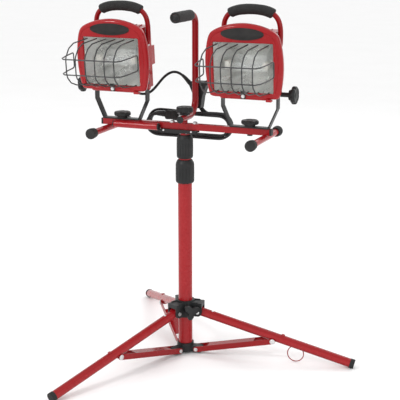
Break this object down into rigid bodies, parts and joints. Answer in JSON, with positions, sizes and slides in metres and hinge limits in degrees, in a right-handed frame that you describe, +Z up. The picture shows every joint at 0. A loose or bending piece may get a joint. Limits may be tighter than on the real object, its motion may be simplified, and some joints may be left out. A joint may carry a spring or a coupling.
{
  "type": "work light",
  "caption": "Twin-head halogen work light with wire guards on a light bar, on a telescoping mast with three folding legs.",
  "frame": {"origin": "on the floor, at the middle of the footprint's bounding box; the mast stands 72 mm towards -X and 25 mm towards +Y of it", "axes": "+Z up along the mast, +X right along the light bar, -Y the way the lights shine"},
  "size_m": [0.7071, 0.7486, 0.8728],
  "materials": {
    "red_tube": "gloss red powder coat",
    "red_casting": "gloss red enamel",
    "zinc_steel": "zinc plated",
    "dark_wire": "satin black",
    "clear_glass": "clear tempered",
    "reflector": "hammered bright",
    "lamp": "quartz and ceramic",
    "foam": "matt foam",
    "rubber": "matt",
    "cord": "satin",
    "black_steel": "satin black",
    "black_plastic": "moulded"
  },
  "bodies": {
    "stand": {"outer_tube": "red_tube", "foot_hub": "black_plastic", "foot_rivets": "zinc_steel"},
    "lower_collar": {"lower_collar": "black_plastic"},
    "upper_collar": {"upper_collar": "black_plastic"},
    "mid_tube": {"mid_tube": "red_tube"},
    "inner_glide": {"inner_glide": "black_plastic"},
    "leg_hub": {"leg_hub": "black_plastic", "hub_rivets": "zinc_steel"},
    "hub_knob": {"hub_knob": "black_plastic"},
    "leg_right": {"leg_right": "red_tube", "cap_right": "rubber", "leg_loop": "dark_wire"},
    "leg_front": {"leg_front": "red_tube", "cap_front": "rubber"},
    "leg_back": {"leg_back": "red_tube", "cap_back": "rubber"},
    "brace_right": {"brace_right": "red_tube"},
    "brace_front": {"brace_front": "red_tube"},
    "brace_back": {"brace_back": "red_tube"},
    "light_bar": {"inner_tube": "red_tube", "bar_bracket": "black_steel", "rail": "red_tube", "foot_bars": "red_tube", "end_plugs": "black_plastic", "bar_feet": "rubber", "spare_lamp_tube": "red_tube", "post_handle": "red_tube", "post_grip": "foam", "cord_hank": "cord", "power_cord": "cord", "left_lead": "cord", "right_lead": "cord", "connector": "black_plastic", "plug": "black_plastic"},
    "post_knob": {"post_knob": "black_plastic"},
    "left_yoke": {"left_yoke": "black_steel"},
    "left_yoke_knob": {"left_yoke_knob": "black_plastic"},
    "left_tilt_knob": {"left_tilt_knob": "black_plastic"},
    "left_head": {"left_housing": "red_casting", "left_bezel": "red_casting", "left_glass": "clear_glass", "left_reflector": "reflector", "left_lamp": "lamp", "left_guard": "dark_wire", "left_carry_handle": "red_tube", "left_carry_grip": "foam"},
    "left_switch": {"left_switch": "black_plastic"},
    "right_yoke": {"right_yoke": "black_steel"},
    "right_yoke_knob": {"right_yoke_knob": "black_plastic"},
    "right_tilt_knob": {"right_tilt_knob": "black_plastic"},
    "right_head": {"right_housing": "red_casting", "right_bezel": "red_casting", "right_glass": "clear_glass", "right_reflector": "reflector", "right_lamp": "lamp", "right_guard": "dark_wire", "right_carry_handle": "red_tube", "right_carry_grip": "foam"},
    "right_switch": {"right_switch": "black_plastic"}
  },
  "joints": [
    {"name": "leg_slide", "type": "slide", "parent": "stand", "child": "leg_hub", "axis": [0, 0, 1], "range_m": [0, 0.29965]},
    {"name": "leg_fold_right", "type": "hinge", "parent": "leg_hub", "child": "leg_right", "pos_m": [-0.03725, 0.02914, 0.112], "axis": [-0.1184, 0.993, 0], "range_deg": [0, 70.3], "deforming": ["leg_loop"]},
    {"name": "brace_fold_right", "type": "hinge", "parent": "stand", "child": "brace_right", "pos_m": [-0.04221, 0.02855, 0.0115], "axis": [0.1184, -0.993, 0], "range_deg": [0, 74.1]},
    {"name": "leg_fold_back", "type": "hinge", "parent": "leg_hub", "child": "leg_back", "pos_m": [-0.09297, 0.05303, 0.112], "axis": [-0.8007, -0.599, 0], "range_deg": [0, 70.3]},
    {"name": "brace_fold_back", "type": "hinge", "parent": "stand", "child": "brace_back", "pos_m": [-0.08997, 0.04902, 0.0115], "axis": [0.8007, 0.599, 0], "range_deg": [0, 74.1]},
    {"name": "leg_fold_front", "type": "hinge", "parent": "leg_hub", "child": "leg_front", "pos_m": [-0.08579, -0.00717, 0.112], "axis": [0.9191, -0.3939, 0], "range_deg": [0, 70.3]},
    {"name": "brace_fold_front", "type": "hinge", "parent": "stand", "child": "brace_front", "pos_m": [-0.08382, -0.00257, 0.0115], "axis": [-0.9191, 0.3939, 0], "range_deg": [0, 74.1]},
    {"name": "hub_knob_turn", "type": "hinge", "parent": "leg_hub", "child": "hub_knob", "pos_m": [-0.072, 0.025, 0.119], "axis": [0.6921, -0.7218, 0], "range_deg": [0, 180]},
    {"name": "lower_collar_twist", "type": "hinge", "parent": "stand", "child": "lower_collar", "pos_m": [-0.072, 0.025, 0.47], "axis": [0, 0, 1], "range_deg": [0, 120]},
    {"name": "mid_slide", "type": "slide", "parent": "stand", "child": "mid_tube", "axis": [0, 0, 1], "range_m": [0, 0.34]},
    {"name": "upper_collar_twist", "type": "hinge", "parent": "mid_tube", "child": "upper_collar", "pos_m": [-0.072, 0.025, 0.53], "axis": [0, 0, 1], "range_deg": [0, 120]},
    {"name": "inner_slide", "type": "slide", "parent": "mid_tube", "child": "inner_glide", "axis": [0, 0, 1], "range_m": [0, 0.34]},
    {"name": "mast_turn", "type": "hinge", "parent": "inner_glide", "child": "light_bar", "pos_m": [-0.072, 0.025, 0.56], "axis": [0, 0, 1], "range_deg": [-180, 180]},
    {"name": "post_knob_turn", "type": "hinge", "parent": "light_bar", "child": "post_knob", "pos_m": [-0.072, 0.025, 0.618], "axis": [0, 0, 1], "range_deg": [0, 180]},
    {"name": "left_yoke_swivel", "type": "hinge", "parent": "light_bar", "child": "left_yoke", "pos_m": [-0.238, 0.025, 0.588], "axis": [0, 0, 1], "range_deg": [-35, 35]},
    {"name": "left_yoke_knob_turn", "type": "hinge", "parent": "light_bar", "child": "left_yoke_knob", "pos_m": [-0.238, 0.025, 0.598], "axis": [0, 0, 1], "range_deg": [0, 180]},
    {"name": "left_tilt", "type": "hinge", "parent": "left_yoke", "child": "left_head", "pos_m": [-0.238, 0.025, 0.67], "axis": [1, 0, 0], "range_deg": [-70, 25], "deforming": ["left_lead"]},
    {"name": "left_tilt_knob_turn", "type": "hinge", "parent": "left_yoke", "child": "left_tilt_knob", "pos_m": [-0.328, 0.025, 0.67], "axis": [-1, 0, 0], "range_deg": [0, 180]},
    {"name": "left_switch_rock", "type": "hinge", "parent": "left_head", "child": "left_switch", "pos_m": [-0.2265, 0.0955, 0.74192], "axis": [1, 0, 0], "range_deg": [-16, 0]},
    {"name": "right_yoke_swivel", "type": "hinge", "parent": "light_bar", "child": "right_yoke", "pos_m": [0.094, 0.025, 0.588], "axis": [0, 0, 1], "range_deg": [-35, 35]},
    {"name": "right_yoke_knob_turn", "type": "hinge", "parent": "light_bar", "child": "right_yoke_knob", "pos_m": [0.094, 0.025, 0.598], "axis": [0, 0, 1], "range_deg": [0, 180]},
    {"name": "right_tilt", "type": "hinge", "parent": "right_yoke", "child": "right_head", "pos_m": [0.094, 0.025, 0.67], "axis": [1, 0, 0], "range_deg": [-70, 25], "deforming": ["right_lead"]},
    {"name": "right_tilt_knob_turn", "type": "hinge", "parent": "right_yoke", "child": "right_tilt_knob", "pos_m": [0.184, 0.025, 0.67], "axis": [1, 0, 0], "range_deg": [0, 180]},
    {"name": "right_switch_rock", "type": "hinge", "parent": "right_head", "child": "right_switch", "pos_m": [0.0825, 0.0955, 0.74192], "axis": [1, 0, 0], "range_deg": [-16, 0]}
  ],
  "couplings": [
    {"joint": "leg_fold_right", "follows": "leg_slide", "rad_per_m": 4.0935},
    {"joint": "brace_fold_right", "follows": "leg_slide", "rad_per_m": 4.3142},
    {"joint": "leg_fold_back", "follows": "leg_slide", "rad_per_m": 4.0935},
    {"joint": "brace_fold_back", "follows": "leg_slide", "rad_per_m": 4.3142},
    {"joint": "leg_fold_front", "follows": "leg_slide", "rad_per_m": 4.0935},
    {"joint": "brace_fold_front", "follows": "leg_slide", "rad_per_m": 4.3142}
  ]
}
